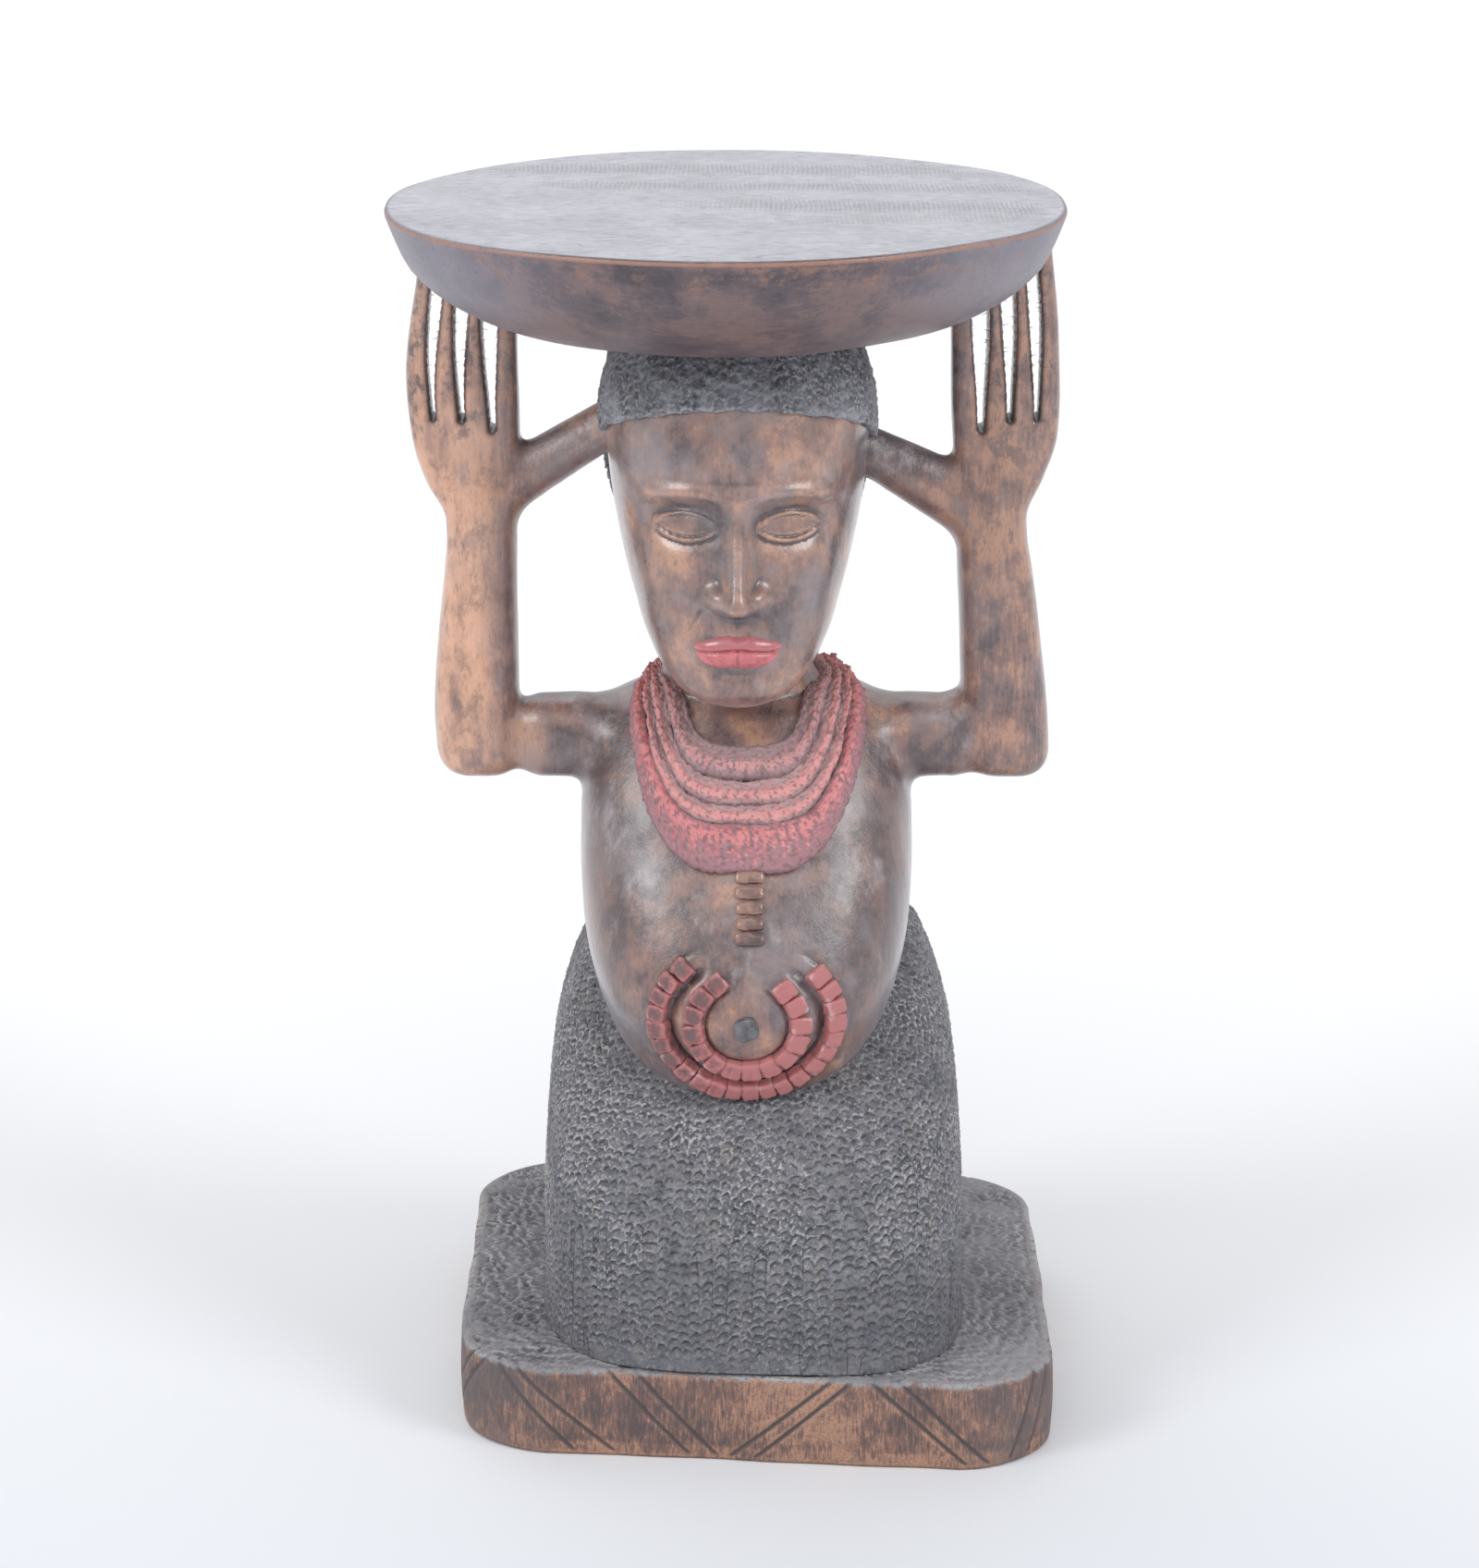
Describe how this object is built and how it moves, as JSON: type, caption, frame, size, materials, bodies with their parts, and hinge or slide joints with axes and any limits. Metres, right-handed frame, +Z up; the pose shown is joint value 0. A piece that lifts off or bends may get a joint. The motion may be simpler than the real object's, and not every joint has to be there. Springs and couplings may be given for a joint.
{
  "type": "caryatid stool",
  "caption": "Carved wooden stool: a kneeling figure on a plinth carries a shallow oval seat on its head and raised hands.",
  "frame": {"origin": "middle of the bounding box at floor level", "axes": "+Z up; the figure faces -Y; +X is the figure's left"},
  "size_m": [0.272, 0.258, 0.5],
  "materials": {
    "seat_wood": "dark stained, worn orange-brown at the rim",
    "body_wood": "satin dark stain with warm worn patches",
    "arm_wood": "satin, worn through to orange-brown",
    "plinth_wood": "dry grain with incised lines",
    "blackened_wood": "matt charcoal, chip-carved",
    "collar_paint": "dusty red paint over hatched wood",
    "bead_paint": "worn red paint",
    "lip_paint": "bright red paint"
  },
  "bodies": {
    "root": {"plinth": "plinth_wood", "lap_block": "blackened_wood", "torso": "body_wood", "outer_belly_ring": "bead_paint", "inner_belly_ring": "bead_paint", "navel_boss": "blackened_wood", "chest_strip": "body_wood", "collar_strand_top": "collar_paint", "collar_strand_second": "collar_paint", "collar_strand_third": "collar_paint", "collar_strand_bottom": "collar_paint", "neck": "body_wood", "head": "body_wood", "right_eye": "body_wood", "left_eye": "body_wood", "lips": "lip_paint", "hair": "blackened_wood", "right_upper_arm": "arm_wood", "right_forearm": "arm_wood", "right_palm": "arm_wood", "right_thumb": "arm_wood", "right_finger_1": "arm_wood", "right_finger_2": "arm_wood", "right_finger_3": "arm_wood", "right_finger_4": "arm_wood", "left_upper_arm": "arm_wood", "left_forearm": "arm_wood", "left_palm": "arm_wood", "left_thumb": "arm_wood", "left_finger_1": "arm_wood", "left_finger_2": "arm_wood", "left_finger_3": "arm_wood", "left_finger_4": "arm_wood", "seat": "seat_wood"}
  },
  "joints": []
}
